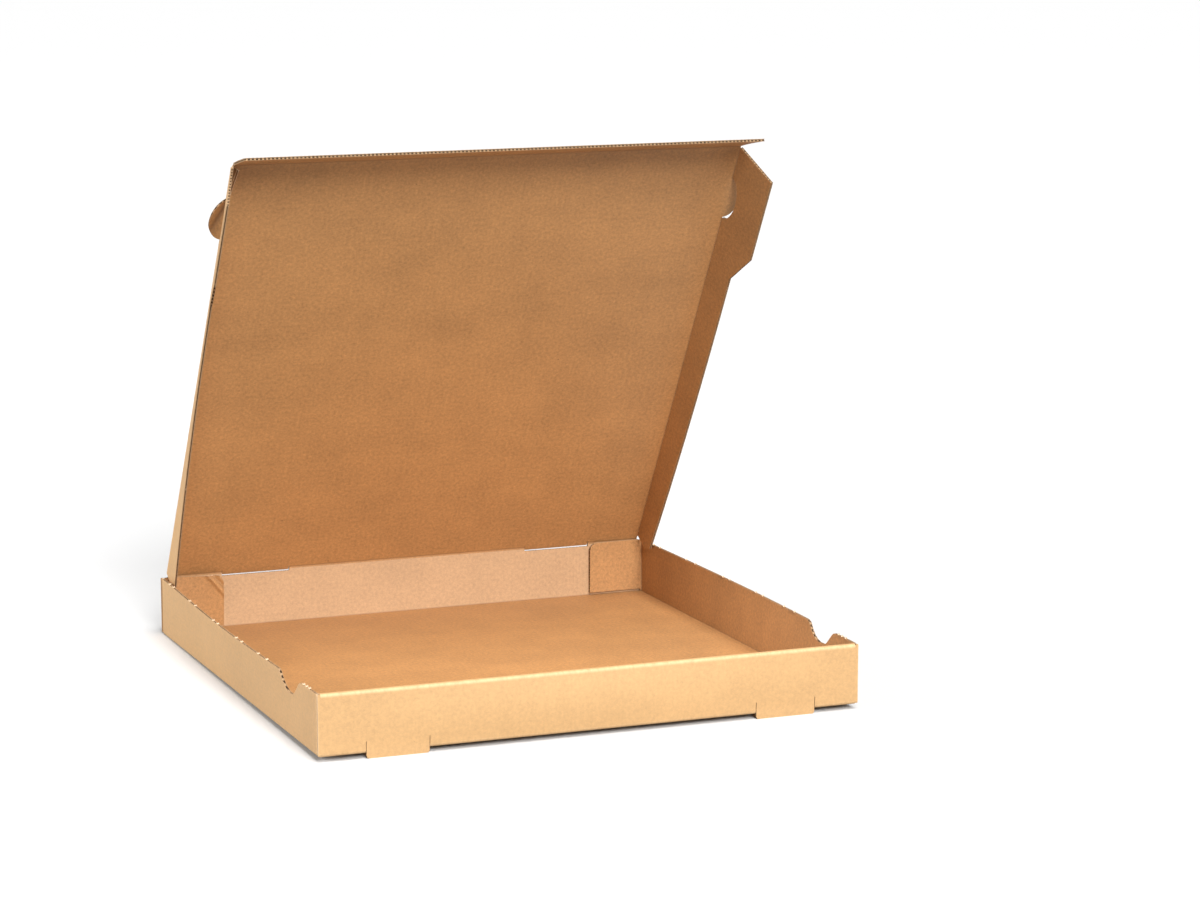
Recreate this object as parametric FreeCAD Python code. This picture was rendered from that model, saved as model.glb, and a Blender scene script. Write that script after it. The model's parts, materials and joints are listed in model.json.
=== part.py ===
import FreeCAD, Part
import math
import os

os.makedirs("parts", exist_ok=True)

V = FreeCAD.Vector

# The board, in millimetres: the whole box is folded from one die-cut sheet of it
board = 1.5
layer_gap = 0.15
crease_gap = 0.2
fold_radius = 1.2

# The tray: a square bottom with four walls, the back one a little higher
tray_width = 330.0
tray_depth = 330.0
wall_height = 36.0
hinge_rise = 1.0

# The front wall, rolled over two corner tabs and locked into slots in the bottom
front_tab_length = 40.0
foot_from_side = 28.0
foot_width = 37.0
foot_drop = 3.0
foot_round = 1.6
foot_slit = 0.7
foot_slit_height = 7.0
lock_tab_inset = 3.0
lock_tab_lift = 0.4

# The side walls' rear ends, folded in front of the back wall
rear_tab_length = 39.0
rear_tab_drop = 1.0
rear_tab_round = 9.0

# The finger notch in each side wall
notch_from_front = 49.0
notch_half_width = 18.0
notch_depth = 10.0

# The lid, with an ear at each side that rests over a notch
lid_side_inset = 4.6
lid_front_clearance = 0.4
lid_open_angle = 59.0
hinge_bevel = 13.0
ear_from_front_crease = 39.2
ear_half_length = 14.9
ear_reach = 9.8
ear_kerf = 0.4

# The two tabs that stand past the hinge crease, and their windows in the back wall
hinge_tab_from_side = 40.0
hinge_tab_width = 44.0
hinge_tab_reach = 2.2
window_clearance = 0.4

# The side flaps: narrow behind, wide in front, and sprung out more towards the front
side_fold_front = 72.0
side_fold_twist = 18.0
side_flap_narrow = 19.5
side_flap_wide = 32.2
side_flap_rear_gap = 3.0
side_flap_rear_corner = 7.5
side_flap_rear_slant = 5.0
side_flap_front_gap = 1.0
side_flap_front_slant = 5.0
step_from_front_crease = 65.3
step_slant = 23.5
twist_stations = 8

# The front flap, sprung out
front_fold = 47.0
front_flap_width = 31.6
front_flap_flare = 2.0

# Places that follow from the sizes above
hinge_y = tray_depth - board
hinge_z = wall_height + hinge_rise
inner_leaf_y = 2 * (board + layer_gap)
front_crease_y = inner_leaf_y + board + lid_front_clearance + board
lid_length = hinge_y - front_crease_y
left_crease_x = lid_side_inset
right_crease_x = tray_width - lid_side_inset
ear_y = front_crease_y + ear_from_front_crease
step_front = lid_length - step_from_front_crease
step_rear = step_front - step_slant
lid_angle = math.radians(lid_open_angle)
tab_reach_back = hinge_tab_reach * math.cos(lid_angle) + board * math.sin(lid_angle)
box_back = max(tray_depth, hinge_y + tab_reach_back)
origin = V(tray_width / 2, box_back / 2, -foot_drop)


def block(x0, x1, y0, y1, z0, z1):
    return Part.makeBox(x1 - x0, y1 - y0, z1 - z0, V(x0, y0, z0))


def plate(points, thickness):
    """A flat piece of board: a closed outline pushed along a vector through its thickness."""
    return Part.Face(Part.makePolygon(points + [points[0]])).extrude(thickness)


def mirrored(shape):
    """The same piece at the other side of the box."""
    return shape.mirror(V(tray_width / 2, 0, 0), V(1, 0, 0))


def on_both_sides(shape):
    return [shape, mirrored(shape)]


def tray_shell():
    """The bottom with its four walls, rounded along the folds at the bottom."""
    outside = block(0, tray_width, 0, tray_depth, 0, wall_height)
    bottom_folds = [e for e in outside.Edges if e.BoundBox.ZMax < board / 2]
    outside = outside.makeFillet(fold_radius, bottom_folds)
    inside = block(board, tray_width - board, board, tray_depth - board, board, wall_height + board)
    return outside.cut(inside)


def corner_slots():
    """The front and back walls only lie against the side walls, with a thin slot between."""
    top = wall_height + board
    front = block(-board, board, board, board + layer_gap, board, top)
    back = block(-board, board, hinge_y - layer_gap, hinge_y, board, top)
    return on_both_sides(front) + on_both_sides(back)


def notch():
    """The finger notch through the left side wall: a slope, a round floor, a round shoulder."""
    top = wall_height
    low = wall_height - notch_depth
    front = V(-board, notch_from_front - notch_half_width, top)
    slope = V(-board, notch_from_front - 0.5 * notch_half_width, low + 0.18 * notch_depth)
    floor = V(-board, notch_from_front - 0.1 * notch_half_width, low)
    rise = V(-board, notch_from_front + 0.5 * notch_half_width, low + 0.14 * notch_depth)
    bend = V(-board, notch_from_front + 0.85 * notch_half_width, low + 0.5 * notch_depth)
    rear = V(-board, notch_from_front + notch_half_width, top)
    lift = V(0, 0, board)
    edges = [
        Part.makeLine(front, slope),
        Part.Arc(slope, floor, rise).toShape(),
        Part.Arc(rise, bend, rear).toShape(),
        Part.makeLine(rear, rear + lift),
        Part.makeLine(rear + lift, front + lift),
        Part.makeLine(front + lift, front),
    ]
    return Part.Face(Part.Wire(edges)).extrude(V(3 * board, 0, 0))


def rolled_front():
    """The inner leaf of the front wall, with the fold that brings it over the top."""
    side = board + layer_gap
    leaf_back = inner_leaf_y + board
    leaf = block(side, tray_width - side, inner_leaf_y, leaf_back, side, wall_height)
    over = block(side, tray_width - side, 0, leaf_back, wall_height - board, wall_height)
    rolled = leaf.fuse(over).removeSplitter()
    top_folds = [e for e in rolled.Edges if e.BoundBox.ZMin > wall_height - board / 2]
    long_folds = [e for e in top_folds if e.BoundBox.XLength > tray_width / 2]
    return rolled.makeFillet(fold_radius, long_folds)


def front_corner_tab():
    """The left side wall's front end, folded in between the two leaves of the front wall."""
    y0 = board + layer_gap
    low = board + layer_gap
    return block(0, front_tab_length, y0, y0 + board, low, wall_height - board - layer_gap)


def rear_corner_tab():
    """The left side wall's rear end, folded in front of the back wall, its free corner round."""
    y1 = hinge_y - layer_gap
    y0 = y1 - board
    z1 = wall_height - rear_tab_drop
    r = rear_tab_round
    tab = block(0, rear_tab_length, y0, y1, board + layer_gap, z1)
    corner = block(rear_tab_length - r, rear_tab_length + r, y0 - board, y1 + board, z1 - r, z1 + r)
    disc = Part.makeCylinder(r, 3 * board, V(rear_tab_length - r, y0 - board, z1 - r), V(0, 1, 0))
    return tab.cut(corner.cut(disc))


def foot_window():
    """The slot that a foot leaves in the bottom, and the slits at its sides."""
    x0 = foot_from_side
    x1 = foot_from_side + foot_width
    near = x0 - foot_slit
    far = x1 + foot_slit
    slot = block(near, far, board, board + board + foot_drop, -board, 2 * board)
    near_slit = block(near, x0, -board, 2 * board, -board, foot_slit_height)
    far_slit = block(x1, far, -board, 2 * board, -board, foot_slit_height)
    return slot.fuse([near_slit, far_slit])


def foot():
    """A tongue of the bottom that stays in line with the front wall and stands below it."""
    x0 = foot_from_side
    tongue = block(x0, x0 + foot_width, 0, board, -foot_drop, 2 * board)
    low_edges = [e for e in tongue.Edges if e.BoundBox.ZMax < -foot_drop / 2]
    corners = [e for e in low_edges if e.BoundBox.XLength < foot_width / 2]
    return tongue.makeFillet(foot_round, corners)


def lock_tab():
    """The tab of the inner leaf that goes down into the slot behind a foot."""
    x0 = foot_from_side + lock_tab_inset
    x1 = foot_from_side + foot_width - lock_tab_inset
    return block(x0, x1, inner_leaf_y, inner_leaf_y + board, lock_tab_lift, 3 * board)


def back_wall_top():
    """The part of the back wall above the side walls, bevelled at the hinge crease."""
    top = hinge_z - crease_gap
    fall = board * math.tan(math.radians(hinge_bevel))
    low = wall_height - board
    outline = [V(0, hinge_y, low), V(0, tray_depth, low), V(0, tray_depth, top - fall), V(0, hinge_y, top)]
    return plate(outline, V(tray_width, 0, 0))


def hinge_window():
    """The window that a hinge tab leaves in the back wall, deep enough for it to swing through."""
    x0 = hinge_tab_from_side - window_clearance
    x1 = hinge_tab_from_side + hinge_tab_width + window_clearance
    depth = math.hypot(hinge_tab_reach, board) + window_clearance
    return block(x0, x1, hinge_y - board, tray_depth + board, hinge_z - depth, hinge_z + board)


def tray():
    """Bottom, walls, corner tabs, rolled front and feet: one folded piece."""
    side = board + layer_gap
    front_top = block(side, tray_width - side, -board, 2 * board, wall_height - board, wall_height + board)
    shell = tray_shell().fuse(back_wall_top())
    waste = corner_slots() + on_both_sides(notch()) + on_both_sides(foot_window())
    waste += on_both_sides(hinge_window()) + [front_top]
    folded = on_both_sides(front_corner_tab()) + on_both_sides(rear_corner_tab())
    folded += on_both_sides(foot()) + on_both_sides(lock_tab()) + [rolled_front()]
    return shell.cut(waste).fuse(folded).removeSplitter()


def ear(margin, low, high):
    """The left ear's oval, grown by a margin, lying in the closed lid between two heights."""
    oval = Part.Ellipse(V(0, 0, 0), ear_half_length + margin, ear_reach + margin)
    face = Part.Face(Part.Wire([oval.toShape()]))
    solid = face.extrude(V(0, 0, high - low))
    solid.rotate(V(0, 0, 0), V(0, 0, 1), 90)
    solid.translate(V(left_crease_x, ear_y, hinge_z + low))
    return solid


def hinge_tab():
    """A tab of the lid that stands past the hinge crease."""
    x0 = hinge_tab_from_side
    x1 = hinge_tab_from_side + hinge_tab_width
    return block(x0, x1, hinge_y - 3 * board, hinge_y + hinge_tab_reach, hinge_z, hinge_z + board)


def closed_lid():
    """The lid's flat panel with its ears and hinge tabs, as it lies when the box is shut."""
    front = front_crease_y + crease_gap
    rear = hinge_y - crease_gap
    fall = board * math.tan(math.radians(hinge_bevel))
    x0 = left_crease_x + crease_gap
    outline = [
        V(x0, front, hinge_z),
        V(x0, rear, hinge_z),
        V(x0, rear - fall, hinge_z + board),
        V(x0, front, hinge_z + board),
    ]
    panel = plate(outline, V(right_crease_x - left_crease_x - 2 * crease_gap, 0, 0))
    return panel.fuse(on_both_sides(ear(0, 0, board)) + on_both_sides(hinge_tab())).removeSplitter()


def side_fold(s):
    """The left flap's fold angle at a distance s from the hinge: upright there, sprung out in front."""
    ease = max(0.0, 1 - s / step_rear)
    return math.radians(side_fold_front + side_fold_twist * ease ** 2)


def side_point(s, w, n):
    """A point of the left flap: s from the hinge, w down the flap, n out through the board."""
    fold = side_fold(s)
    x = left_crease_x - w * math.cos(fold) - n * math.sin(fold)
    z = hinge_z - w * math.sin(fold) + n * math.cos(fold)
    return V(x, hinge_y - s, z)


def side_section(s, w):
    """The left flap cut across at s: the board's thickness from the crease to its free edge."""
    corners = [
        side_point(s, crease_gap, 0),
        side_point(s, w, 0),
        side_point(s, w, board),
        side_point(s, crease_gap, board),
    ]
    return Part.makePolygon(corners + [corners[0]])


def side_flap_rear():
    """The narrow, twisted length of the left flap, its rear corner cut away at a slant."""
    first = side_flap_rear_gap
    second = first + side_flap_rear_slant
    sections = [side_section(first, side_flap_narrow - side_flap_rear_corner)]
    for i in range(twist_stations + 1):
        s = second + (step_rear - second) * i / twist_stations
        sections.append(side_section(s, side_flap_narrow))
    return Part.makeLoft(sections, True, True)


def side_flap_front():
    """The flat, wide length of the left flap, with the hole that the ear was cut from."""
    end = lid_length - side_flap_front_gap
    corners = [
        (step_rear, crease_gap),
        (step_rear, side_flap_narrow),
        (step_front, side_flap_wide),
        (end - side_flap_front_slant, side_flap_wide),
        (end, crease_gap),
    ]
    outline = [side_point(s, w, 0) for s, w in corners]
    thickness = side_point(step_front, crease_gap, board) - side_point(step_front, crease_gap, 0)
    hole = ear(ear_kerf, -board, 2 * board)
    hole.rotate(V(left_crease_x, 0, hinge_z), V(0, 1, 0), -side_fold_front)
    return plate(outline, thickness).cut(hole)


def closed_left_flap():
    return side_flap_rear().fuse(side_flap_front()).removeSplitter()


def closed_front_flap():
    """The flap along the lid's front crease, a little longer at its free edge."""
    near = front_crease_y - crease_gap
    far = front_crease_y - front_flap_width
    outline = [
        V(left_crease_x, near, hinge_z),
        V(right_crease_x, near, hinge_z),
        V(right_crease_x + front_flap_flare, far, hinge_z),
        V(left_crease_x - front_flap_flare, far, hinge_z),
    ]
    flap = plate(outline, V(0, 0, board))
    flap.rotate(V(0, front_crease_y, hinge_z), V(1, 0, 0), front_fold)
    return flap


def opened(shape):
    """A piece of the lid, swung up about the hinge crease to its resting place."""
    shape.rotate(V(0, hinge_y, hinge_z), V(1, 0, 0), -lid_open_angle)
    return shape


def save(shape, name):
    placed = shape.copy()
    placed.translate(-origin)
    placed.exportStep("parts/" + name + ".step")


save(tray(), "tray")
save(opened(closed_lid()), "lid")
save(opened(closed_left_flap()), "left_flap")
save(opened(mirrored(closed_left_flap())), "right_flap")
save(opened(closed_front_flap()), "front_flap")
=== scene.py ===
import json
import math
import bmesh
import bpy
import numpy as np
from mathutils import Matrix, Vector


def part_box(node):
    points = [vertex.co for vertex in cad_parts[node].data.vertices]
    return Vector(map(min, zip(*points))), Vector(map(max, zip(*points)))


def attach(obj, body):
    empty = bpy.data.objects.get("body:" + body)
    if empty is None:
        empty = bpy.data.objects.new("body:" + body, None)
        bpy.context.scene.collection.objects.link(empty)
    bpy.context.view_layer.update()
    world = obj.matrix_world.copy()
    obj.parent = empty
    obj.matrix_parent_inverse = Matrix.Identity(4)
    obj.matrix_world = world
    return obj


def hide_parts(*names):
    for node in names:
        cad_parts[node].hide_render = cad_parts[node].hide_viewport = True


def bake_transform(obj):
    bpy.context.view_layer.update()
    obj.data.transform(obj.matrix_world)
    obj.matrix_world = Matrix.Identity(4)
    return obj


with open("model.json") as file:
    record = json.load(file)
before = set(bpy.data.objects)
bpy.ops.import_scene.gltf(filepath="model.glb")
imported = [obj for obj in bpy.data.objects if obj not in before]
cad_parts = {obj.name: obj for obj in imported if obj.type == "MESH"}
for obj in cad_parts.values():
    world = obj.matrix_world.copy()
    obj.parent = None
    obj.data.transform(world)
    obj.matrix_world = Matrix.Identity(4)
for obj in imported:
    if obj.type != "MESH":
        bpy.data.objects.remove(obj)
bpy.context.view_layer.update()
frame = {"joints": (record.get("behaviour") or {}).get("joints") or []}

# The tray.
# The square bottom with its four walls, cut and scored in one sheet of brown
# micro-flute board and folded up: the side walls' ends turn in behind the
# front and back walls, and the front wall rolls over them and locks.

mm = 0.001
board = 1.5 * mm
liner = 0.24 * mm
flute_pitch = 2.4 * mm
score_radius = 0.35 * mm
score_half = 0.9 * mm
edge_recess = 0.35 * mm

tray_low, tray_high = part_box("tray")
hinge = Vector(frame["joints"][0]["pos_m"])
foot_drop = 3 * mm
wall_height = 36 * mm
inside_floor = tray_low.z + foot_drop + board
left_inside = tray_low.x + board
right_inside = tray_high.x - board
front_inside = tray_low.y + board
back_inside = hinge.y
wall_rise = tray_low.z + foot_drop + wall_height - inside_floor


def cut_sheet(outline, holes, across, along):
    """A flat sheet cut to its outline and holes, and lined both ways so that it can bend."""
    bm = bmesh.new()
    for loop in [outline] + holes:
        verts = [bm.verts.new((x, y, 0)) for x, y in loop]
        for a, b in zip(verts, verts[1:] + verts[:1]):
            bm.edges.new((a, b))
    bmesh.ops.triangle_fill(bm, use_beauty=True, edges=bm.edges[:])
    for normal, places in ((Vector((1, 0, 0)), across), (Vector((0, 1, 0)), along)):
        for place in places:
            parts = bm.verts[:] + bm.edges[:] + bm.faces[:]
            bmesh.ops.bisect_plane(bm, geom=parts, dist=1e-7, plane_co=place * normal, plane_no=normal)
    slanted = []
    for edge in bm.edges:
        run = edge.verts[1].co - edge.verts[0].co
        if not edge.is_boundary and abs(run.x) > 1e-7 and abs(run.y) > 1e-7:
            slanted.append(edge)
    bmesh.ops.dissolve_edges(bm, edges=slanted, use_verts=False)
    spare = [v for v in bm.verts if not v.is_boundary and len(v.link_edges) == 2]
    bmesh.ops.dissolve_verts(bm, verts=spare)
    bmesh.ops.recalc_face_normals(bm, faces=bm.faces[:])
    if sum(f.normal.z * f.calc_area() for f in bm.faces) < 0:
        bmesh.ops.reverse_faces(bm, faces=bm.faces[:])
    bm.verts.index_update()
    return bm


def make_board(name, bm, shape):
    """The sheet at the board's thickness: two liners, with the fluted core set back at each cut edge."""
    flat = np.array([v.co[:2] for v in bm.verts])
    faces = [[v.index for v in f.verts] for f in bm.faces]
    rim_loops = [loop for face in bm.faces for loop in face.loops if loop.edge.is_boundary]
    rim = [(loop.vert.index, loop.link_loop_next.vert.index) for loop in rim_loops]
    bm.free()
    inward = {}
    for a, b in rim:
        run = flat[b] - flat[a]
        side = np.array((-run[1], run[0])) / max(np.linalg.norm(run), 1e-9)
        inward.setdefault(a, []).append(side)
        inward.setdefault(b, []).append(side)
    rim_points = sorted(inward)
    rank = {p: i for i, p in enumerate(rim_points)}
    on_rim = flat[rim_points]
    recess = np.array([sum(inward[p]) / max(1 + inward[p][0] @ inward[p][-1], 0.6) for p in rim_points])
    set_back = on_rim + edge_recess * recess
    count = len(flat)
    rings = len(rim_points)
    levels = [(flat, 0), (flat, board), (on_rim, liner), (set_back, liner),
              (set_back, board - liner), (on_rim, board - liner)]
    starts = [0, count] + [2 * count + k * rings for k in range(4)]
    blank = np.vstack([np.column_stack([uv, np.full(len(uv), n)]) for uv, n in levels])
    placed = shape(blank[:, 0], blank[:, 1], blank[:, 2])
    polygons = [list(f) for f in faces] + [[count + i for i in reversed(f)] for f in faces]
    finish = [0] * len(faces) + [1] * len(faces)

    def at(level, point):
        return starts[level] + (point if level < 2 else rank[point])

    for a, b in rim:
        along_flutes = abs(flat[b][0] - flat[a][0]) < 0.2 * abs(flat[b][1] - flat[a][1])
        for upper, lower in ((0, 2), (2, 3), (3, 4), (4, 5), (5, 1)):
            polygons.append([at(upper, a), at(lower, a), at(lower, b), at(upper, b)])
            finish.append(3 if along_flutes else 2)
    mesh = bpy.data.meshes.new(name)
    mesh.from_pydata([tuple(p) for p in placed[:, :3]], [], polygons)
    mesh.polygons.foreach_set("material_index", finish)
    place = mesh.attributes.new("blank", "FLOAT_VECTOR", "POINT")
    place.data.foreach_set("vector", blank.astype(np.float32).ravel())
    # The fourth column is the crease mark, also set at the torn nubs: the inside paper darkens there as
    # painted shade and crushed paper, and the outside lightens as a scuff.
    scuff_and_shade = mesh.attributes.new("scuff_and_shade_mask", "FLOAT", "POINT")
    scuff_and_shade.data.foreach_set("value", placed[:, 3].astype(np.float32))
    mesh.validate()
    mesh.shade_smooth()
    mesh.set_sharp_from_angle(angle=math.radians(35))
    piece = bpy.data.objects.new(name, mesh)
    bpy.context.scene.collection.objects.link(piece)
    return piece


def fold(points, past, corner, out, angle, where=True):
    """Folds what lies past a scored line up by an angle, and marks the line in the crease mark: painted
    shade on the inside liner, a lighter scuff on the outside.

    points has x, y, z and the crease mark, and past is each point's flat distance past the line."""
    corner, out, up = (np.array((*vector, 0.0)) for vector in (corner, out, (0, 0, 1)))
    from_line = points - corner
    reach = from_line @ out
    height = from_line @ up
    angle = np.broadcast_to(angle, reach.shape)
    tangent = score_radius * np.tan(angle / 2)
    middle = score_radius + board / 2
    arc = middle * angle
    share = (past + score_half) / (2 * score_half)
    along_arc = tangent - score_half + share * (2 * score_half + arc - 2 * tangent)
    in_score = np.abs(past) < score_half
    turn = np.where(in_score, np.clip(along_arc / middle, 0, angle), np.where(past > 0, angle, 0))
    outside_score = np.where(past > 0, reach - tangent, reach + tangent)
    straight = np.where(in_score, along_arc - turn * middle, outside_score)
    new_reach = (score_radius - height) * np.sin(turn) + straight * np.cos(turn) - tangent
    new_height = score_radius - (score_radius - height) * np.cos(turn) + straight * np.sin(turn)
    moved = points + np.outer(new_reach - reach, out) + np.outer(new_height - height, up)
    moved[:, 3] = np.maximum(points[:, 3], np.clip(1 - np.abs(past) / score_half, 0, 1))
    return np.where(np.broadcast_to(where, reach.shape)[:, None], moved, points)


def score_lines(place, steps=6):
    return [place + score_half * (2 * k / steps - 1) for k in range(steps + 1)]


def even_lines(low, high, pitch):
    count = max(1, round((high - low) / pitch))
    return [low + (high - low) * k / count for k in range(1, count)]


def round_corner(centre, radius, start, end, steps=8):
    """Points on an arc of a cut corner, from one angle to another in degrees."""
    turns = [math.radians(start + (end - start) * k / steps) for k in range(steps + 1)]
    return [(centre[0] + radius * math.cos(t), centre[1] + radius * math.sin(t)) for t in turns]


front_tab_line = tray_low.y + 3.15 * mm
rear_tab_line = back_inside - 1.65 * mm
front_tab_reach = 38.5 * mm
front_tab_inset = 1.65 * mm
front_tab_chamfer = 2 * mm
corner_relief = 0.3 * mm
rear_tab_reach = 37.5 * mm
rear_tab_round = 5 * mm
rear_tab_rise = 0.7 * mm
rear_tab_ramp = 3 * mm
tab_foot = 1.8 * mm
roll_rise = 33 * mm
roll_gap = 1.8 * mm
inner_leaf_rise = 32.85 * mm
leaf_side = 1.65 * mm
slit = 0.1 * mm

foot_from_side = 28 * mm
foot_width = 37 * mm
foot_slit_rise = 7 * mm
foot_slit = 0.35 * mm
foot_round = 1.6 * mm
foot_slot = 1.4 * mm
lock_inset = 3 * mm
lock_reach = 1.25 * mm

notch_middle = tray_low.y + 49 * mm
notch_half = 18 * mm
notch_depth = 10 * mm
window_start = 39.6 * mm
window_end = 84.4 * mm
window_rise = 32.9 * mm
hinge_strip = 1.2 * mm
back_rise = hinge.z - hinge_strip - inside_floor


def notch_cut():
    """The finger notch along a side wall's top edge, front to rear, as (along, down from the top)."""
    start = notch_middle - notch_half
    depth = notch_depth / mm
    profile = ((-2, 0), (0.5, 0.35), (3, 1.9), (8, 6.3), (10.5, 8.4), (13, 9.7), (16, depth), (21, depth),
               (25.5, 9.1), (29.5, 7.2), (32.5, 4.9), (34.5, 2.6), (36, 1.1), (38.5, 0.2), (41, 0))
    return [(start + along * mm, down * mm) for along, down in profile]


nicks_in_front = [-149 * mm, -144 * mm, -139 * mm]
nicks_behind = [k * mm for k in (-74, -58, -26, -15, 25, 35, 78, 92, 134, 144)]
nick_rise = 0.6 * mm


def nick(along):
    """A torn nub on a wall's top edge, left where the waste was stripped from the blank."""
    steps = ((-1.3, 0), (-1.1, 0), (-0.7, nick_rise), (0.6, nick_rise), (1.1, 0), (1.3, 0))
    return [(wall_rise + rise, along + step * mm) for step, rise in steps]


def side_wall_cut():
    """The right side wall and its two corner tabs as (out from the inside corner, along), front to rear."""
    tab_end = front_tab_line - front_tab_reach
    tab_top = wall_rise - front_tab_inset
    relief = front_inside + corner_relief
    cut = [(0, relief), (tab_foot, relief), (tab_foot, tab_end), (tab_top - front_tab_chamfer, tab_end)]
    cut += [(tab_top, tab_end + front_tab_chamfer), (tab_top, front_tab_line - mm)]
    cut += [(wall_rise, front_tab_line)]
    for place in nicks_in_front:
        cut += nick(place)
    cut += [(wall_rise - down, along) for along, down in notch_cut()]
    for place in nicks_behind:
        cut += nick(place)
    cut += [(wall_rise, rear_tab_line), (wall_rise + rear_tab_rise, rear_tab_line + rear_tab_ramp)]
    r = rear_tab_round
    centre = (wall_rise + rear_tab_rise - r, rear_tab_line + rear_tab_reach - r)
    cut += round_corner(centre, r, 0, 90, 10)
    relief = back_inside - corner_relief
    return cut + [(tab_foot, centre[1] + r), (tab_foot, relief), (0, relief)]


def tray_outline():
    """The tray's blank, counter-clockwise from the inner leaf's free edge in front."""
    leaf_end = front_inside - roll_rise - roll_gap - inner_leaf_rise
    leaf_x = tray_high.x - leaf_side
    near = foot_from_side + lock_inset
    far = foot_from_side + foot_width - lock_inset
    locks = []
    for a, b in ((tray_low.x + near, tray_low.x + far), (tray_high.x - far, tray_high.x - near)):
        locks += [(a, leaf_end), (a, leaf_end - lock_reach), (b, leaf_end - lock_reach), (b, leaf_end)]
    bend = front_inside - roll_rise + score_half
    top = front_inside - wall_rise
    right_front = [(leaf_x, leaf_end), (leaf_x, bend), (leaf_x + slit, bend), (leaf_x + slit, top)]
    right_front += [(tray_high.x, top), (tray_high.x, front_inside - slit), (right_inside, front_inside)]
    right = [(right_inside + out, along) for out, along in side_wall_cut()]
    top = back_inside + back_rise
    sill = back_inside + window_rise
    right_back = [(right_inside, back_inside), (tray_high.x, back_inside + slit), (tray_high.x, top)]
    right_back += [(tray_high.x - window_start, top), (tray_high.x - window_start, sill)]
    right_back += [(tray_high.x - window_end, sill), (tray_high.x - window_end, top)]
    half = right_front + right + right_back
    return locks + half + [(-x, y) for x, y in reversed(half)]


def foot_cut(middle):
    """The cut round a foot: slits up into the front wall and a slot in the bottom behind it."""
    a, b = middle - foot_width / 2, middle + foot_width / 2
    slits_top = front_inside - foot_slit_rise + board
    toe = front_inside + foot_drop + board
    heel = toe + foot_slot
    r = foot_round
    cut = [(a - foot_slit, slits_top), (a, slits_top)]
    cut += round_corner((a + r, toe - r), r, 180, 90, 5) + round_corner((b - r, toe - r), r, 90, 0, 5)
    return cut + [(b, slits_top), (b + foot_slit, slits_top), (b + foot_slit, heel), (a - foot_slit, heel)]


crush_past = 32 * mm
crush_rise = 30.5 * mm
crush_slope = math.radians(38)
crush_curve = 6.0
crush_curve_start = 26 * mm
crush_droop = 0.3
crush_ridges = ((0.0, 1.1 * mm, 1.3 * mm), (2.6 * mm, -0.9 * mm, 1.2 * mm), (4.8 * mm, 0.6 * mm, 1.2 * mm))
crush_crease = 1.9 * mm
crush_crease_width = 0.6 * mm


def crumpled_corner(past, rise):
    """The rear left tab's free corner, crushed into ridges: how far the sheet lifts, and a crease mark
    along its valley that the inside paper shows as painted shade.
    """
    across = (past - crush_past) * math.cos(crush_slope) + (rise - crush_rise) * math.sin(crush_slope)
    across = across + crush_curve * (rise - crush_curve_start) ** 2
    on_tab = (past > 0) & (rise > 0)
    lift = -crush_droop * np.maximum(across, 0)
    for place, height, width in crush_ridges:
        lift = lift + height * np.exp(-((across - place) / width) ** 2)
    scuff_and_shade_mask = 0.8 * np.exp(-((across - crush_crease) / crush_crease_width) ** 2)
    return np.where(on_tab, lift, 0), np.where(on_tab, scuff_and_shade_mask, 0)


left_wall_bow = 3.4 * mm
right_wall_bow = 2.6 * mm
front_wall_bow = 1.3 * mm
left_tab_spring = 13.5
right_tab_spring = 2.0


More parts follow.
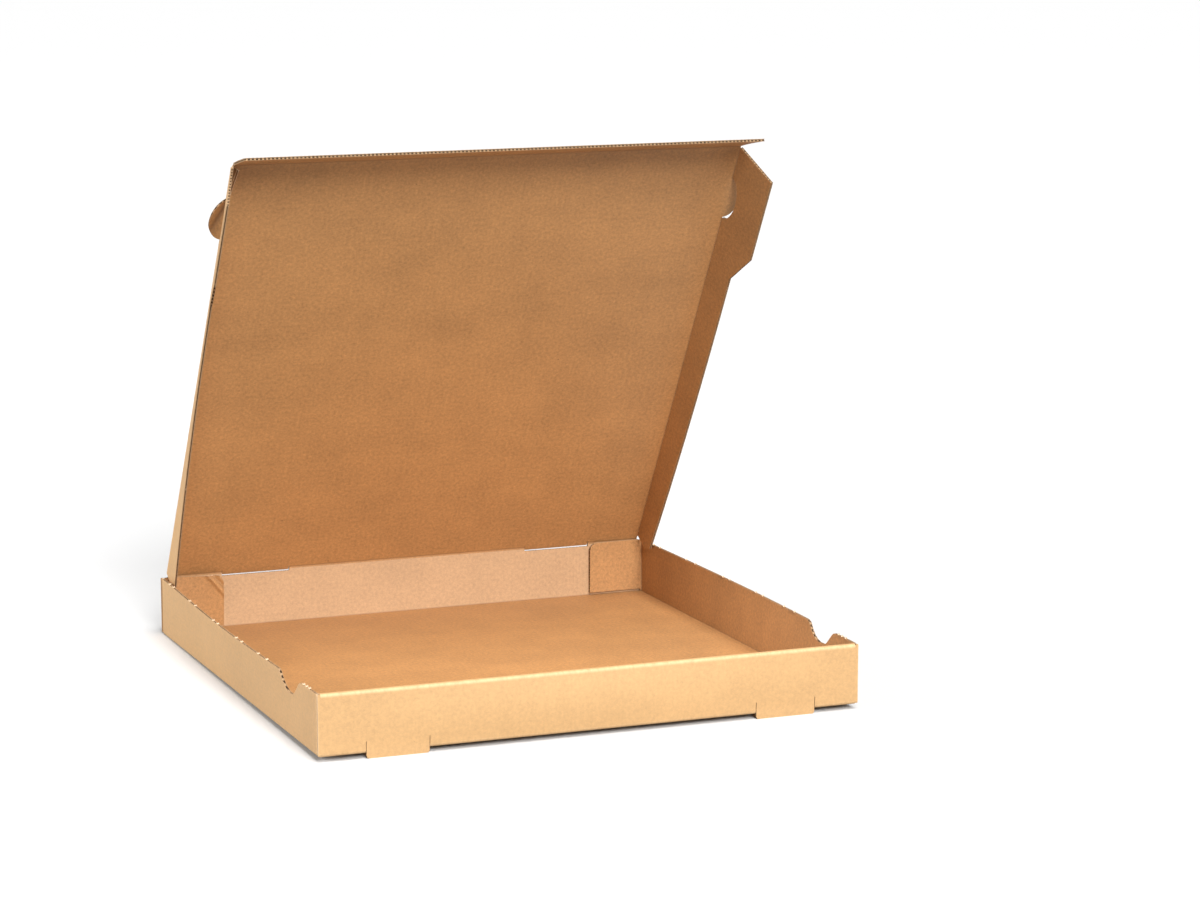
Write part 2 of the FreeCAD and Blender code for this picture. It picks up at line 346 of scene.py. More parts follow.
def tray_shape(u, v, n):
    """Where the folded tray carries each point of its blank."""
    across = right_inside - left_inside
    deep = back_inside - front_inside
    in_front = (v < front_inside + slit / 2) & (np.abs(u) < tray_high.x + slit)
    in_back = (v > back_inside - slit / 2) & (np.abs(u) < tray_high.x + slit)
    foot_middle = tray_high.x - foot_from_side - foot_width / 2
    toe = front_inside + foot_drop + board + 0.1 * mm
    in_foot = (np.abs(np.abs(u) - foot_middle) < foot_width / 2 + 0.1 * mm) & (v < toe)
    in_front |= in_foot
    past_left = np.where(in_front | in_back, -1, left_inside - u)
    past_right = np.where(in_front | in_back, -1, u - right_inside)
    past_front = np.where(in_foot, np.maximum(front_inside - v, score_half), front_inside - v)
    side_rise = np.clip(np.maximum(past_left, past_right) / wall_rise, 0, 1)
    length_share = np.clip((v - front_inside) / deep, 0, 1)
    width_share = np.clip((u - left_inside) / across, 0, 1)
    side_bow = np.where(past_left > 0, left_wall_bow, right_wall_bow)
    h = -n - side_bow * side_rise ** 1.2 * np.sin(math.pi * length_share) ** 1.3
    front_bow = np.sin(math.pi * width_share) * np.sin(math.pi * np.clip(past_front / roll_rise, 0, 1))
    h = h - np.where(in_front, front_wall_bow * front_bow, 0)
    side = (past_left > 0) | (past_right > 0)
    from_nick = np.abs(v[:, None] - np.array(nicks_in_front + nicks_behind)[None, :]).min(axis=1)
    torn = (from_nick < 1.2 * mm) & (np.maximum(past_left, past_right) > wall_rise - 0.2 * mm)
    cut_end = in_front & (np.abs(u) > tray_high.x - 0.4 * mm)
    crumple, valley = crumpled_corner(v - rear_tab_line, past_left)
    h = h + crumple
    # The fourth column is the crease mark: the torn nubs and the front wall's cut ends as wear, and the
    # crumple's valley as painted shade on the inside.
    p = np.column_stack([u, v, h, np.maximum(torn | cut_end, valley)])
    quarter = math.pi / 2
    leaf_line = front_inside - roll_rise - roll_gap
    over = (np.abs(u) < tray_high.x - leaf_side + slit / 2) & in_front
    p = fold(p, leaf_line - v, (0, leaf_line, 0), (0, -1, 0), quarter, over)
    roll_line = front_inside - roll_rise
    p = fold(p, roll_line - v, (0, roll_line, 0), (0, -1, 0), quarter, over)
    p = fold(p, front_tab_line - v, (0, front_tab_line, 0), (0, -1, 0), quarter, side)
    spring = np.where(past_left > 0, left_tab_spring, right_tab_spring) * (0.45 + 0.55 * side_rise)
    rear_turn = quarter + np.radians(spring)
    p = fold(p, v - rear_tab_line, (0, rear_tab_line, 0), (0, 1, 0), rear_turn, side)
    p = fold(p, past_left, (left_inside, 0, 0), (-1, 0, 0), quarter, past_left > -0.5)
    p = fold(p, past_right, (right_inside, 0, 0), (1, 0, 0), quarter, past_right > -0.5)
    between_sides = (past_left <= 0) & (past_right <= 0)
    p = fold(p, past_front, (0, front_inside, 0), (0, -1, 0), quarter, in_front | between_sides)
    p = fold(p, v - back_inside, (0, back_inside, 0), (0, 1, 0), quarter, between_sides)
    return p + np.array((0, 0, inside_floor, 0))


def tray_lines():
    roll_line = front_inside - roll_rise
    across = score_lines(left_inside) + score_lines(right_inside)
    across += even_lines(left_inside, right_inside, 9 * mm)
    for side, sign in ((left_inside, -1), (right_inside, 1)):
        across += [side + sign * k * 4 * mm for k in range(1, 9)]
    across += [tray_low.x + foot_from_side, tray_low.x + foot_from_side + foot_width]
    across += [tray_high.x - foot_from_side, tray_high.x - foot_from_side - foot_width]
    along = score_lines(front_inside) + score_lines(back_inside)
    along += score_lines(roll_line) + score_lines(roll_line - roll_gap)
    along += score_lines(front_tab_line) + score_lines(rear_tab_line)
    along += even_lines(front_inside, back_inside, 9 * mm)
    along += [front_inside - 4 * mm * k for k in range(1, 17)]
    along += [back_inside + 3 * mm * k for k in range(1, 14)]
    across += even_lines(left_inside - wall_rise, left_inside - 14 * mm, 0.9 * mm)
    along += even_lines(rear_tab_line + 22 * mm, rear_tab_line + rear_tab_reach, 0.9 * mm)
    return sorted(set(across)), sorted(set(along))


foot_middle = tray_high.x - foot_from_side - foot_width / 2
tray_blank = cut_sheet(tray_outline(), [foot_cut(-foot_middle), foot_cut(foot_middle)], *tray_lines())
tray = make_board("tray_board", tray_blank, tray_shape)


def node(tree, kind, inputs=None, **settings):
    made = tree.nodes.new(kind)
    for key, value in settings.items():
        setattr(made, key, value)
    for key, value in (inputs or {}).items():
        if isinstance(value, bpy.types.NodeSocket):
            tree.links.new(value, made.inputs[key])
        else:
            made.inputs[key].default_value = value
    return made


def maths(tree, operation, *values, clamp=False):
    made = node(tree, "ShaderNodeMath", dict(enumerate(values)), operation=operation, use_clamp=clamp)
    return made.outputs[0]


def mixed(tree, share, a, b, kind="MIX"):
    made = node(tree, "ShaderNodeMix", data_type="RGBA", blend_type=kind)
    for key, value in ((0, share), (6, a), (7, b)):
        if isinstance(value, bpy.types.NodeSocket):
            tree.links.new(value, made.inputs[key])
        else:
            made.inputs[key].default_value = value
    return made.outputs[2]


def group(name, inputs, outputs):
    """An empty shader group with named sockets."""
    tree = bpy.data.node_groups.new(name, "ShaderNodeTree")
    for socket, kind, value in inputs:
        made = tree.interface.new_socket(socket, in_out="INPUT", socket_type="NodeSocket" + kind)
        if value is not None:
            made.default_value = value
    for socket, kind in outputs:
        tree.interface.new_socket(socket, in_out="OUTPUT", socket_type="NodeSocket" + kind)
    return tree, tree.nodes.new("NodeGroupInput"), tree.nodes.new("NodeGroupOutput")


speck_colour = (0.10, 0.05, 0.025, 1)


def kraft_paper():
    """Kraft liner: cloudy and blotched, with fine fibres, faint flutes, and a second colour where the
    crease mark is set: painted shade on the inside liner, a lighter scuff on the outside.
    """
    tree, given, made = group(
        "kraft_paper",
        [("Blank", "Vector", None), ("Scuff and shade mask", "Float", 0.0), ("Paper", "Color", (0.5, 0.3, 0.15, 1)),
         ("Scuff and shade colour", "Color", (0.5, 0.3, 0.15, 1)), ("Mottle", "Float", 0.2), ("Flutes", "Float", 0.2)],
        [("Color", "Color"), ("Roughness", "Float"), ("Height", "Float")])
    place = given.outputs["Blank"]

    def noise(scale, detail, stretch=(1.0, 1.0, 1.0), distortion=0.0):
        space = node(tree, "ShaderNodeMapping", {"Vector": place, "Scale": stretch})
        settings = {"Vector": space.outputs[0], "Scale": scale, "Detail": detail, "Roughness": 0.7}
        made_noise = node(tree, "ShaderNodeTexNoise", {**settings, "Distortion": distortion})
        return maths(tree, "SUBTRACT", made_noise.outputs[0], 0.5)

    blotches = noise(480.0, 3.0)
    fibres = noise(2600.0, 2.0, (0.35, 1.0, 1.0), 0.6)
    clouds = maths(tree, "MULTIPLY", noise(11.0, 3.0, (0.4, 1.0, 1.0)), 0.5)
    tone = maths(tree, "ADD", clouds, maths(tree, "MULTIPLY", noise(30.0, 2.0), 0.3))
    tone = maths(tree, "ADD", tone, blotches)
    tone = maths(tree, "ADD", tone, maths(tree, "MULTIPLY", fibres, 0.7))
    tone = maths(tree, "ADD", tone, maths(tree, "MULTIPLY", noise(150.0, 2.0, (1.0, 0.06, 1.0)), 0.10))
    tone = maths(tree, "MULTIPLY", tone, given.outputs["Mottle"])
    split = node(tree, "ShaderNodeSeparateXYZ", {"Vector": place})
    wave = maths(tree, "SINE", maths(tree, "MULTIPLY", split.outputs["X"], 2 * math.pi / flute_pitch))
    wave = maths(tree, "MULTIPLY", wave, given.outputs["Flutes"])
    factor = maths(tree, "ADD", maths(tree, "ADD", 1.0, tone), maths(tree, "MULTIPLY", wave, 0.02))
    grey = node(tree, "ShaderNodeCombineColor", {"Red": factor, "Green": factor, "Blue": factor})
    colour = mixed(tree, 1.0, given.outputs["Paper"], grey.outputs[0], "MULTIPLY")
    cells = node(tree, "ShaderNodeTexVoronoi", {"Vector": place, "Scale": 110.0, "Randomness": 1.0})
    draw = node(tree, "ShaderNodeSeparateColor", {"Color": cells.outputs["Color"]}).outputs[0]
    chosen = maths(tree, "GREATER_THAN", draw, 0.95)
    speck = maths(tree, "MULTIPLY", maths(tree, "LESS_THAN", cells.outputs["Distance"], 0.05), chosen)
    colour = mixed(tree, maths(tree, "MULTIPLY", speck, 0.7), colour, speck_colour)
    patchy = maths(tree, "ADD", 0.62, maths(tree, "MULTIPLY", blotches, 1.6))
    share = maths(tree, "MULTIPLY", given.outputs["Scuff and shade mask"], patchy, clamp=True)
    colour = mixed(tree, share, colour, given.outputs["Scuff and shade colour"])
    height = maths(tree, "MULTIPLY", maths(tree, "ADD", blotches, fibres), 0.00003)
    height = maths(tree, "ADD", height, maths(tree, "MULTIPLY", wave, 0.00004))
    rough = maths(tree, "ADD", 0.58, maths(tree, "MULTIPLY", blotches, 0.2))
    for socket, value in (("Color", colour), ("Roughness", rough), ("Height", height)):
        tree.links.new(value, made.inputs[socket])
    return tree


paper_group = kraft_paper()


def paper_material(name, paper, scuff_and_shade, mottle, flutes, ink=None):
    """Matt kraft paper in one colour, read from each point's place on the flat blank, and any ink on it."""
    material = bpy.data.materials.new(name)
    material.use_nodes = True
    tree = material.node_tree
    shader = tree.nodes["Principled BSDF"]
    place = node(tree, "ShaderNodeAttribute", attribute_name="blank").outputs["Vector"]
    scuff_and_shade_mask = node(tree, "ShaderNodeAttribute", attribute_name="scuff_and_shade_mask").outputs["Fac"]
    look = node(tree, "ShaderNodeGroup", node_tree=paper_group)
    tree.links.new(place, look.inputs["Blank"])
    tree.links.new(scuff_and_shade_mask, look.inputs["Scuff and shade mask"])
    look.inputs["Paper"].default_value = (*paper, 1)
    look.inputs["Scuff and shade colour"].default_value = (*scuff_and_shade, 1)
    look.inputs["Mottle"].default_value = mottle
    look.inputs["Flutes"].default_value = flutes
    colour = look.outputs["Color"]
    if ink:
        colour = ink(tree, place, colour)
    height = look.outputs["Height"]
    bump = node(tree, "ShaderNodeBump", {"Height": height, "Distance": 1.0, "Strength": 0.9})
    tree.links.new(colour, shader.inputs["Base Color"])
    tree.links.new(look.outputs["Roughness"], shader.inputs["Roughness"])
    tree.links.new(bump.outputs[0], shader.inputs["Normal"])
    shader.inputs["Specular IOR Level"].default_value = 0.7
    return material


dark_cut = (0.22, 0.125, 0.06, 1)
pale_cut = (0.64, 0.43, 0.25, 1)
torn_paper = (0.78, 0.60, 0.41, 1)
# Near-black painted shade for the open flutes in a cut edge.
flute_shade = (0.035, 0.018, 0.009, 1)
ply_half = 0.12 * mm
flute_shade_line_half = 0.2 * mm


def raw_edge_material(name, across_flutes):
    """The cut edge: two liners with the waved ply between, crushed on one side, or a line along a flute,
    with the open flutes in painted shade.
    """
    material = bpy.data.materials.new(name)
    material.use_nodes = True
    tree = material.node_tree
    shader = tree.nodes["Principled BSDF"]
    place = node(tree, "ShaderNodeAttribute", attribute_name="blank").outputs["Vector"]
    scuff_and_shade_mask = node(tree, "ShaderNodeAttribute", attribute_name="scuff_and_shade_mask").outputs["Fac"]
    split = node(tree, "ShaderNodeSeparateXYZ", {"Vector": place})
    fuzz = node(tree, "ShaderNodeTexNoise", {"Vector": place, "Scale": 1500.0, "Detail": 2.0}).outputs[0]
    from_middle = maths(tree, "SUBTRACT", split.outputs["Z"], board / 2)
    if across_flutes:
        wave = maths(tree, "SINE", maths(tree, "MULTIPLY", split.outputs["X"], 2 * math.pi / flute_pitch))
        from_ply = maths(tree, "SUBTRACT", from_middle, maths(tree, "MULTIPLY", wave, board / 2 - liner))
        ply = maths(tree, "LESS_THAN", maths(tree, "ABSOLUTE", from_ply), ply_half)
        ply = maths(tree, "MAXIMUM", ply, maths(tree, "LESS_THAN", wave, -0.25))
    else:
        torn = node(tree, "ShaderNodeTexNoise", {"Vector": place, "Scale": 260.0, "Detail": 3.0}).outputs[0]
        ply = maths(tree, "GREATER_THAN", torn, 0.66)
    skin_start = board / 2 - liner * 0.6 if across_flutes else flute_shade_line_half
    skin = maths(tree, "GREATER_THAN", maths(tree, "ABSOLUTE", from_middle), skin_start)
    cut = mixed(tree, fuzz, dark_cut, pale_cut)
    # Between the ply and the liners, the open flutes get painted shade.
    colour = mixed(tree, maths(tree, "MAXIMUM", ply, skin), flute_shade, cut)
    colour = mixed(tree, maths(tree, "GREATER_THAN", scuff_and_shade_mask, 0.5), colour, torn_paper)
    tree.links.new(colour, shader.inputs["Base Color"])
    shader.inputs["Roughness"].default_value = 0.95
    shader.inputs["Specular IOR Level"].default_value = 0.1
    return material


# Colours for the crease mark: on the inside, a dark brown that is painted shade in the creases and crushed
# paper at the torn nubs; on the outside, a lighter scuff of stretched paper.
crease_shade_and_scuff_inside = (0.20, 0.095, 0.036)
scuffed_outside = (0.76, 0.50, 0.25)
outside_kraft = (0.60, 0.355, 0.152)
inside_paper = paper_material("inside_paper", (0.46, 0.232, 0.084), crease_shade_and_scuff_inside, 1.0, 0.2)
# A paler copy of the inside paper for the back wall's inner face: a painted sheen, standing for the lamps'
# pale reflection off that wall.
painted_sheen_inside = paper_material("painted_sheen_inside_paper", (0.54, 0.335, 0.180), crease_shade_and_scuff_inside, 0.6, 0.2)
outside_paper = paper_material("outside_paper", outside_kraft, scuffed_outside, 0.42, 0.3)
raw_ends = raw_edge_material("raw_ends", across_flutes=True)
raw_sides = raw_edge_material("raw_sides", across_flutes=False)


def finish_board(piece, outside=outside_paper):
    for material in (inside_paper, outside, raw_ends, raw_sides):
        piece.data.materials.append(material)


finish_board(tray)
# The back wall's inner face takes the paler copy: a painted sheen.
tray.data.materials.append(painted_sheen_inside)
for polygon in tray.data.polygons:
    if polygon.material_index == 0 and polygon.normal.y < -0.9 and polygon.center.y > back_inside - 1 * mm:
        polygon.material_index = 4
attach(tray, "tray")
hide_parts("tray")

# The lid.
# The flat panel that swings on the back wall's crease, with a half-round ear
# at each side, the inner half of each side crease, and two short tabs that
# stand past the hinge crease in their windows.

lid_open = math.radians(59)
lid_run = np.array((0, -math.cos(lid_open), math.sin(lid_open)))
lid_out = np.array((0, math.sin(lid_open), math.cos(lid_open)))
lid_half = 160.4 * mm
lid_length = 321.8 * mm
step_front = lid_length - 65.3 * mm
step_rear = step_front - 23.5 * mm
ear_middle = lid_length - 39.2 * mm
ear_half = 14.9 * mm
ear_reach = 9.8 * mm
ear_kerf = 0.4 * mm
crease_opening = 0.4 * mm
side_fold_front = 72
side_fold_rear = 90
left_ear_tilt = 0.055
left_ear_turn = 0.45
left_ear_bend_across = 0.93
left_ear_bend_along = 0.37
left_ear_bend_start = 13 * mm
left_ear_bend_width = 1.7 * mm
left_ear_crush = 0.5 * mm
right_ear_tilt = 0.06
right_ear_curl = 25.0
right_ear_curl_start = 4 * mm
right_ear_shade_after = 5 * mm
hinge_tab_start = 40 * mm
hinge_tab_end = 84 * mm
hinge_tab_reach = 2.2 * mm


def on_lid(points):
    """Carries the flat lid's points (across, along, in towards the tray, wear) to where it stands open."""
    across, along, inward = points[:, 0], points[:, 1], points[:, 2]
    placed = np.outer(across, (1, 0, 0)) + np.outer(along, lid_run) - np.outer(inward, lid_out)
    return np.column_stack([placed + np.array(hinge), points[:, 3]])


def ear_arc(half, reach, steps=20):
    """Half an oval as (along, out), from the rear root to the front one."""
    turns = [math.pi * k / steps for k in range(steps + 1)]
    return [(-half * math.cos(t), reach * math.sin(t)) for t in turns]


def lid_outline():
    front = lid_length - score_half
    rear = hinge_strip
    right = [(lid_half, rear), (lid_half, ear_middle - ear_half - ear_kerf)]
    right += [(lid_half + out, ear_middle + along) for along, out in ear_arc(ear_half, ear_reach)]
    right += [(lid_half, ear_middle + ear_half + ear_kerf), (lid_half, front)]
    left = [(-x, y) for x, y in reversed(right)]
    near = tray_high.x - hinge_tab_start
    far = tray_high.x - hinge_tab_end
    tabs = []
    for x0, x1 in ((-near, -far), (far, near)):
        tabs += [(x0, rear), (x0, -hinge_tab_reach), (x1, -hinge_tab_reach), (x1, rear)]
    return tabs + right + left


def side_angle(v):
    """How far a side flap is folded, from upright by the hinge to sprung out in front."""
    ease = np.clip(1 - v / step_rear, 0, 1)
    return np.radians(side_fold_front + (side_fold_rear - side_fold_front) * ease ** 2)


def fold_sides(points, u, v, n, folded, pull):
    """Folds what lies past the lid's side creases, with the outer liner pulled away for a flap to turn."""
    for side in (-1, 1):
        past = side * u - lid_half
        apart = pull * n / board * np.clip(1 - np.abs(past) / score_half, 0, 1) * folded
        past = past + apart
        points = points + np.outer(side * apart, (1, 0, 0, 0))
        points = fold(points, past, (side * lid_half, 0, 0), (side, 0, 0), side_angle(v), folded)
    return points


def lid_shape(u, v, n):
    """The lid's panel: flat, with its left ear bent along a slanting line and its right ear curled back."""
    past_left = np.maximum(-u - lid_half, 0)
    past_right = np.maximum(u - lid_half, 0)
    curled = np.maximum(past_right - right_ear_curl_start, 0)
    along_ear = v - ear_middle - left_ear_bend_start
    from_bend = left_ear_bend_across * past_left + left_ear_bend_along * along_ear
    bend = np.where(past_left > 0.2 * mm, np.exp(-(from_bend / left_ear_bend_width) ** 2), 0)
    turned = np.where(past_left > 0, np.maximum(from_bend, 0), 0)
    h = -n - left_ear_tilt * past_left + left_ear_turn * turned - left_ear_crush * bend
    h = h - right_ear_tilt * past_right - right_ear_curl * curled ** 2
    # The ears' crease mark: on the lid's inside, painted shade along the left ear's bend and towards the
    # right ear's curled tip.
    scuff_and_shade_mask = np.maximum(bend, 0.8 * np.clip(curled / right_ear_shade_after, 0, 1))
    beside_ears = np.abs(v - ear_middle) > ear_half + ear_kerf / 2
    return on_lid(fold_sides(np.column_stack([u, v, h, scuff_and_shade_mask]), u, v, n, beside_ears, 0))


lid_across = even_lines(-lid_half + 5 * mm, lid_half - 5 * mm, 10 * mm)
lid_across += [side * (lid_half + k * 0.9 * mm) for side in (-1, 1) for k in range(1, 11)]
lid_across += [side * (lid_half - score_half * k / 5) for side in (-1, 1) for k in range(6)]
lid_along = [0, ear_middle - ear_half, ear_middle + ear_half]
lid_along += even_lines(hinge_strip, lid_length - score_half, 10 * mm)
lid_along += even_lines(ear_middle - ear_half, ear_middle + ear_half, 1.3 * mm)
lid_blank = cut_sheet(lid_outline(), [], sorted(set(lid_across)), sorted(set(lid_along)))
lid = make_board("lid_board", lid_blank, lid_shape)


def ink_on_lid(tree, place, paper):
    """Dark ink on the lid: a round sign in the middle and staggered rows of plain slices about it."""
    split = node(tree, "ShaderNodeSeparateXYZ", {"Vector": place})
    across, along = split.outputs["X"], split.outputs["Y"]

    def less(a, b):
        return maths(tree, "LESS_THAN", a, b)

    def both(*masks):
        shared = masks[0]
        for mask in masks[1:]:
            shared = maths(tree, "MULTIPLY", shared, mask)
        return shared

    def either(a, b):
        return maths(tree, "MAXIMUM", a, b)

    def without(a, b):
        return maths(tree, "MULTIPLY", a, maths(tree, "SUBTRACT", 1.0, b))

    def within(value, middle, half):
        return less(maths(tree, "ABSOLUTE", maths(tree, "SUBTRACT", value, middle)), half)

    def distance(x, y, x0, y0):
        squares = [maths(tree, "POWER", maths(tree, "SUBTRACT", a, b), 2.0) for a, b in ((x, x0), (y, y0))]
        return maths(tree, "SQRT", maths(tree, "ADD", *squares))

    row = maths(tree, "FLOOR", maths(tree, "DIVIDE", along, slice_row))
    shift = maths(tree, "MULTIPLY", maths(tree, "FLOORED_MODULO", row, 2.0), slice_pitch / 2)
    shifted = maths(tree, "ADD", across, shift)
    x = maths(tree, "SUBTRACT", maths(tree, "FLOORED_MODULO", shifted, slice_pitch), slice_pitch / 2)
    y = maths(tree, "SUBTRACT", maths(tree, "FLOORED_MODULO", along, slice_row), slice_row / 2)
    from_tip = maths(tree, "ADD", y, slice_height / 2)
    beside = maths(tree, "MULTIPLY", from_tip, slice_taper)
    body = within(y, -slice_crust, slice_height / 2 - slice_crust)
    wedge = both(less(maths(tree, "ABSOLUTE", x), beside), body)
    for x0, y0 in slice_dots:
        wedge = without(wedge, less(distance(x, y, x0, y0), slice_dot))
    crust = both(within(x, 0.0, crust_half), within(y, slice_height / 2 - crust_drop, slice_crust))
    rows = either(wedge, crust)
    radius = distance(across, along, 0.0, sign_middle)
    turn = maths(tree, "ARCTAN2", across, maths(tree, "SUBTRACT", along, sign_middle))
    sixth = maths(tree, "SUBTRACT", maths(tree, "FLOORED_MODULO", turn, math.pi / 3), math.pi / 6)
    side_step = maths(tree, "MULTIPLY", radius, maths(tree, "SINE", sixth))
    out_step = maths(tree, "MULTIPLY", radius, maths(tree, "COSINE", sixth))
    from_cut = maths(tree, "SUBTRACT", math.pi / 6, maths(tree, "ABSOLUTE", sixth))
    cuts = less(maths(tree, "MULTIPLY", radius, from_cut), sign_cut)
    sign = without(less(radius, sign_radius - 3 * sign_rim), cuts)
    for out, side in sign_dots:
        sign = without(sign, less(distance(out_step, side_step, out, side), sign_dot))
    sign = either(sign, within(radius, sign_radius - sign_rim, sign_rim))
    slice_x = maths(tree, "SUBTRACT", across, x)
    slice_y = maths(tree, "SUBTRACT", along, y)
    clear = less(sign_radius + sign_margin, distance(slice_x, slice_y, 0.0, sign_middle))
    in_width = within(slice_x, 0.0, lid_half - slice_pitch / 3)
    in_length = within(along, lid_length / 2, lid_length / 2 - print_margin)
    printed = either(sign, both(rows, clear, in_width, in_length))
    speckle = node(tree, "ShaderNodeTexNoise", {"Vector": place, "Scale": 900.0, "Detail": 3.0}).outputs[0]
    cover = maths(tree, "ADD", 0.72, maths(tree, "MULTIPLY", speckle, 0.36), clamp=True)
    return mixed(tree, maths(tree, "MULTIPLY", printed, cover), paper, ink_colour)


slice_pitch = 46 * mm
slice_row = 40.2 * mm
slice_height = 28 * mm
slice_taper = 0.42
slice_crust = 2 * mm
crust_half = 11.5 * mm
crust_drop = 1.2 * mm
slice_dot = 2.1 * mm
slice_dots = ((0.0, -3.5 * mm), (-3.8 * mm, 5.5 * mm), (4.2 * mm, 4 * mm))
sign_middle = 160.8 * mm
sign_radius = 66 * mm
sign_rim = 3 * mm
sign_cut = 1.6 * mm
sign_margin = 19 * mm
sign_dot = 4 * mm
sign_dots = ((20 * mm, 0.0), (37 * mm, 8 * mm), (36 * mm, -9 * mm))
print_margin = 4 * mm
ink_colour = (0.115, 0.090, 0.066, 1)
printed_paper = paper_material("printed_paper", outside_kraft, scuffed_outside, 0.42, 0.3, ink_on_lid)
finish_board(lid, printed_paper)
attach(lid, "lid")
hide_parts("lid")

# The hinge crease.
# The scored line along the back wall's top, where the same sheet goes on as
# the lid. It is interrupted by the two windows.


def hinge_crease_shape(u, v, n):
    p = fold(np.column_stack([u, v, -n, 0 * n]), v, (0, 0, 0), (0, 1, 0), math.pi / 2 - lid_open)
    return np.column_stack([p[:, 0] + hinge.x, hinge.y - p[:, 2], hinge.z + p[:, 1], p[:, 3]])


outer = tray_high.x - window_start
inner = tray_high.x - window_end
crease_lines = [hinge_strip * (2 * k / 8 - 1) for k in range(1, 8)]
for number, (a, b) in enumerate(((-lid_half, -outer), (-inner, inner), (outer, lid_half)), 1):
    outline = [(a, -hinge_strip), (b, -hinge_strip), (b, hinge_strip), (a, hinge_strip)]
    strip_blank = cut_sheet(outline, [], even_lines(a, b, 20 * mm), crease_lines)
    strip = make_board("hinge_crease_%d" % number, strip_blank, hinge_crease_shape)
    finish_board(strip)
    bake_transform(strip)

# The side flaps.
# Folded in along the lid's sides, from the middle of each crease: narrow
# behind, wide in front, with the half-oval hole that the ear was cut from.
# They stay upright by the hinge and spring outwards in front.

flap_narrow = 19.5 * mm
flap_wide = 32.2 * mm
flap_rear = 3 * mm
flap_rear_corner = 7.5 * mm
flap_rear_slant = 5 * mm
flap_front = lid_length - 1 * mm
flap_front_slant = 5 * mm
crease_gap = 0.1 * mm
hole_reach = {-1: ear_reach + ear_kerf, 1: 8 * mm}


def side_flap_shape(u, v, n):
    return on_lid(fold_sides(np.column_stack([u, v, -n, 0 * n]), u, v, n, True, crease_opening))


def side_flap_outline(side):
    near = lid_half + crease_gap
    cut = [(near, flap_rear), (lid_half + flap_narrow - flap_rear_corner, flap_rear)]
    cut += [(lid_half + flap_narrow, flap_rear + flap_rear_slant), (lid_half + flap_narrow, step_rear)]
    cut += [(lid_half + flap_wide, step_front), (lid_half + flap_wide, flap_front - flap_front_slant)]
    cut += [(near, flap_front)]
    hole = reversed(ear_arc(ear_half + ear_kerf, hole_reach[side]))
    cut += [(max(lid_half + out, near), ear_middle + along) for along, out in hole]
    if side < 0:
        cut = [(-x, y) for x, y in reversed(cut)]
    return cut


def side_flap_lines(side):
    across = [side * (lid_half + k * 4 * mm) for k in range(1, 9)]
    across += [side * (lid_half + score_half * k / 5) for k in range(1, 6)]
    along = even_lines(flap_rear, flap_front, 8 * mm)
    along += even_lines(ear_middle - ear_half, ear_middle + ear_half, 3 * mm)
    return sorted(across), sorted(along)


for side, word in ((-1, "left"), (1, "right")):
    flap_blank = cut_sheet(side_flap_outline(side), [], *side_flap_lines(side))
    flap = make_board(word + "_flap_board", flap_blank, side_flap_shape)
    finish_board(flap)
    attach(flap, word + "_flap")
    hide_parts(word + "_flap")

# The front flap.
# The flap along the lid's front crease, sprung out, with cut ends that flare
# a little towards its free edge.

front_fold = math.radians(47)
front_width = 31.6 * mm
front_flare = 2 * mm
front_curl = 1.0


def front_shape(u, v, n):
    past = v - lid_length
    p = np.column_stack([u, v, front_curl * np.maximum(past, 0) ** 2 - n, 0 * n])
    return on_lid(fold(p, past, (0, lid_length, 0), (0, 1, 0), front_fold))


near = lid_length + score_half
far = lid_length + front_width
free = lid_half + front_flare
front_outline = [(-lid_half, near), (lid_half, near), (free, far), (-free, far)]
front_across = even_lines(-lid_half, lid_half, 10 * mm)
front_blank = cut_sheet(front_outline, [], front_across, even_lines(near, far, 4 * mm))
front_flap = make_board("front_flap_board", front_blank, front_shape)
finish_board(front_flap)
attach(front_flap, "front_flap")
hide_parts("front_flap")
rear = lid_length - score_half
strip_outline = [(-lid_half, rear), (lid_half, rear), (lid_half, near), (-lid_half, near)]
strip_across = even_lines(-lid_half, lid_half, 20 * mm)
strip_blank = cut_sheet(strip_outline, [], strip_across, score_lines(lid_length)[1:-1])
front_crease = make_board("front_crease", strip_blank, front_shape)
finish_board(front_crease)
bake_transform(front_crease)

# Floor, light and camera.
# A pale table that the feet and the back edge stand on, soft light from in
# front and above, and the camera low at the box's left front corner.

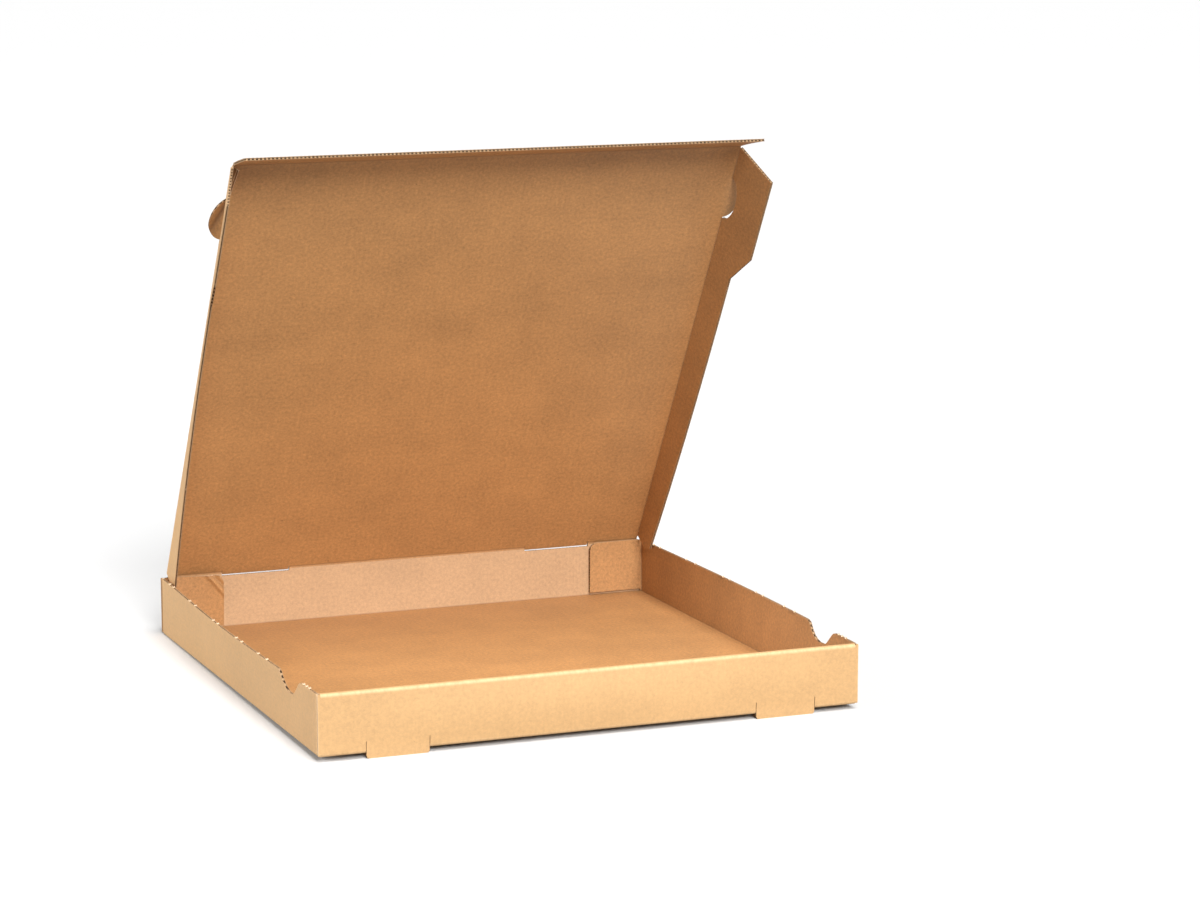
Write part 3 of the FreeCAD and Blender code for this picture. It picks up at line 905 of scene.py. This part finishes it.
floor_mesh = bpy.data.meshes.new("floor")
rise = foot_drop / (tray_high.y - tray_low.y)
corners = ((-9, -9), (12, -9), (12, 20), (-9, 20))
floor_mesh.from_pydata([(x, y, rise * (y - tray_low.y)) for x, y in corners], [], [(0, 1, 2, 3)])
floor = bpy.data.objects.new("floor", floor_mesh)
bpy.context.scene.collection.objects.link(floor)
floor_material = bpy.data.materials.new("floor")
floor_material.use_nodes = True
floor_tree = floor_material.node_tree
seen = node(floor_tree, "ShaderNodeLightPath").outputs["Is Camera Ray"]
floor_colour = mixed(floor_tree, seen, (0.34, 0.34, 0.34, 1), (0.70, 0.70, 0.70, 1))
floor_shader = floor_tree.nodes["Principled BSDF"]
floor_tree.links.new(floor_colour, floor_shader.inputs["Base Color"])
floor_shader.inputs["Roughness"].default_value = 0.9
floor_shader.inputs["Specular IOR Level"].default_value = 0.1
floor_mesh.materials.append(floor_material)

world = bpy.data.worlds.new("studio")
world.use_nodes = True
world_tree = world.node_tree
seen = node(world_tree, "ShaderNodeLightPath").outputs["Is Camera Ray"]
strength = maths(world_tree, "ADD", 0.17, maths(world_tree, "MULTIPLY", seen, 0.83))
world_tree.nodes["Background"].inputs["Color"].default_value = (1, 1, 1, 1)
world_tree.links.new(strength, world_tree.nodes["Background"].inputs["Strength"])
bpy.context.scene.world = world


light_target = (0, 0, 0.1)


def studio_light(name, kind, place, power, spread):
    """A lamp aimed at the box: a far one whose spread is an angle, or a near panel of that size."""
    lamp = bpy.data.lights.new(name, kind)
    lamp.energy = power
    if kind == "SUN":
        lamp.angle = spread
    else:
        lamp.size = spread
    holder = bpy.data.objects.new(name, lamp)
    holder.location = place
    holder.rotation_euler = (Vector(light_target) - Vector(place)).to_track_quat("-Z", "Y").to_euler()
    bpy.context.scene.collection.objects.link(holder)


studio_light("key", "SUN", (0.0, -1.98, 1.20), 3.2, math.radians(24))
studio_light("overhead", "SUN", (0.15, -0.85, 2.0), 2.7, math.radians(35))
studio_light("side_panel", "AREA", (-2.2, 0.55, 0.75), 44, 1.4)

camera_place = (-0.7438, -2.02836, 0.5237)
camera_direction = (0.3659, 0.9133, -0.1790)
camera = bpy.data.objects.new("camera", bpy.data.cameras.new("camera"))
camera.data.lens = 109.0
camera.data.sensor_width = 36
camera.location = camera_place
camera.rotation_euler = Vector(camera_direction).to_track_quat("-Z", "Y").to_euler()
bpy.context.scene.collection.objects.link(camera)
bpy.context.scene.camera = camera
bpy.context.scene.view_settings.view_transform = "Standard"
